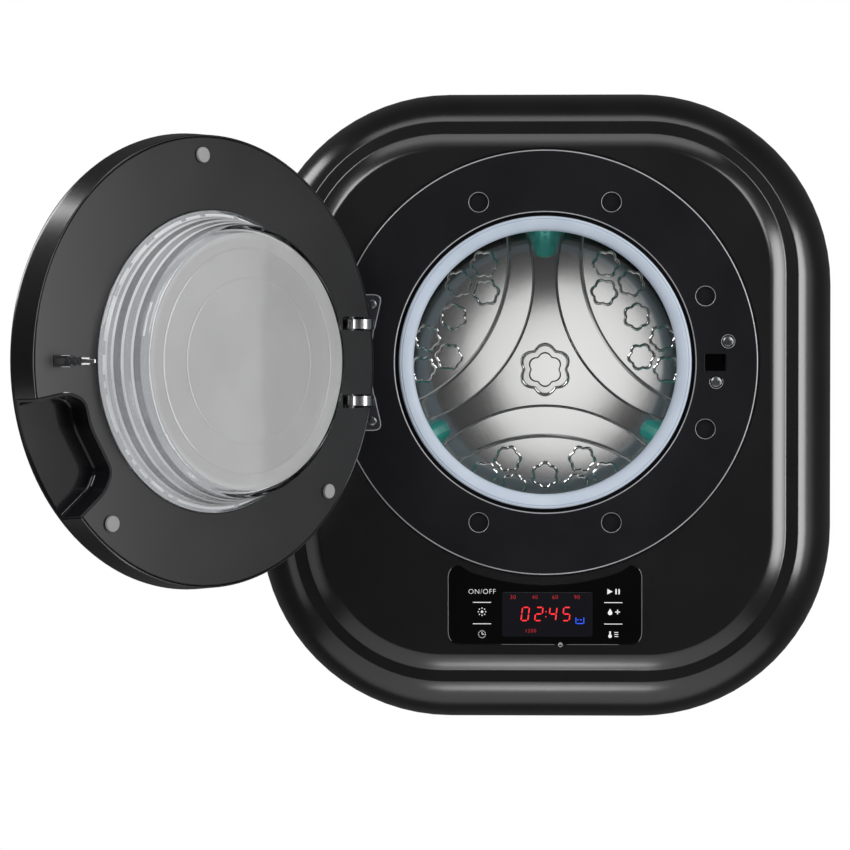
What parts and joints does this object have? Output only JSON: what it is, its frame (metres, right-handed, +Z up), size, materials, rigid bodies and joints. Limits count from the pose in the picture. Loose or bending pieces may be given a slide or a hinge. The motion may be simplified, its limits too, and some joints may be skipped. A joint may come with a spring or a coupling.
{
  "type": "wall mounted washing machine",
  "caption": "Slim front-loading washing machine that hangs on a wall: rounded black cabinet, round door with a glass bowl, embossed steel drum and a touch panel below the door.",
  "frame": {"origin": "centre of the cabinet's back, on the wall plane", "axes": "+X to the right as seen from the front, +Y into the wall, +Z up; the front faces -Y"},
  "size_m": [0.6949, 0.5776, 0.6],
  "materials": {
    "gloss_black": "high gloss moulded plastic",
    "ring_black": "satin-gloss moulded plastic",
    "housing_grey": "fine-grained moulded plastic",
    "fascia_black": "polished plastic",
    "door_grey": "metallic grey gloss plastic",
    "smoked_glass": "smoked, polished",
    "clear_glass": "clear pressed glass with a milky end",
    "rubber_blue": "pale blue-grey moulded rubber",
    "rubber_grey": "matt grey rubber",
    "rubber_black": "matt black rubber",
    "plastic_black": "matt moulded plastic",
    "stainless": "polished stainless steel",
    "steel": "plain steel",
    "chrome": "bright chrome",
    "aluminium": "as cast",
    "lifter_teal": "teal gloss plastic",
    "tub_white": "natural moulded plastic",
    "board_green": "circuit board",
    "galvanised": "galvanised sheet"
  },
  "bodies": {
    "cabinet": {"front_cover": "gloss_black", "rear_housing": "housing_grey", "back_panel": "galvanised", "wall_bush_1": "rubber_black", "wall_bush_2": "rubber_black", "wall_bush_3": "rubber_black", "wall_bush_4": "rubber_black", "control_fascia": "fascia_black", "display_window": "smoked_glass", "control_board": "board_green", "seat_ring": "ring_black", "lock_screw_upper": "chrome", "lock_screw_lower": "chrome", "hinge_screw_upper": "chrome", "hinge_screw_lower": "chrome", "hinge_bracket": "chrome", "door_lock": "plastic_black", "gasket": "rubber_blue", "gasket_clamp": "steel", "tub_rear": "tub_white", "tub_front": "tub_white", "rear_bearing": "steel", "front_bearing": "steel", "shaft_seal": "rubber_black", "heater": "steel", "motor_housing": "steel", "motor_bracket": "galvanised", "drive_belt": "rubber_black", "drain_pump": "housing_grey", "sump_hose": "rubber_black", "drain_spigot": "housing_grey", "inlet_valve": "tub_white", "inlet_hose": "rubber_grey", "fill_hose": "rubber_black", "power_board": "housing_grey", "cable_gland": "rubber_black", "detergent_tray": "tub_white"},
    "drum": {"drum_shell": "stainless", "drum_front_ring": "stainless", "drum_back": "stainless", "lifter_1": "lifter_teal", "lifter_2": "lifter_teal", "lifter_3": "lifter_teal", "drum_spider": "aluminium", "drum_shaft": "steel", "drum_pulley": "aluminium"},
    "motor": {"motor_rotor": "steel"},
    "door": {"door_inner_panel": "door_grey", "door_outer_cover": "gloss_black", "hinge_pin": "steel", "door_window": "smoked_glass", "door_bowl": "clear_glass", "bowl_clamp": "galvanised", "handle_cup": "ring_black", "door_pad_1": "rubber_grey", "door_pad_2": "rubber_grey", "door_pad_3": "rubber_grey", "latch_base": "plastic_black"},
    "latch": {"latch_hook": "chrome"},
    "detergent_flap": {"detergent_lid": "housing_grey"}
  },
  "joints": [
    {"name": "door_hinge", "type": "hinge", "parent": "cabinet", "child": "door", "pos_m": [-0.1793, -0.277, 0.0415], "axis": [0, 0, -1], "range_deg": [-128.6, 0]},
    {"name": "drum_spin", "type": "hinge", "parent": "cabinet", "child": "drum", "pos_m": [0, -0.137, 0.035], "axis": [0, 1, 0], "continuous": true},
    {"name": "motor_spin", "type": "hinge", "parent": "cabinet", "child": "motor", "pos_m": [-0.06, -0.05, -0.222], "axis": [0, 1, 0], "continuous": true},
    {"name": "latch_pivot", "type": "hinge", "parent": "door", "child": "latch", "pos_m": [-0.38926, -0.55123, 0.0415], "axis": [0, 0, 1], "range_deg": [0, 3], "stiffness_Nm_per_rad": 0.5, "springref_deg": -5.73},
    {"name": "detergent_lid_hinge", "type": "hinge", "parent": "cabinet", "child": "detergent_flap", "pos_m": [0, -0.0402, 0.2955], "axis": [-1, 0, 0], "range_deg": [0, 80]}
  ],
  "couplings": [
    {"joint": "motor_spin", "follows": "drum_spin", "ratio": 7.84}
  ]
}
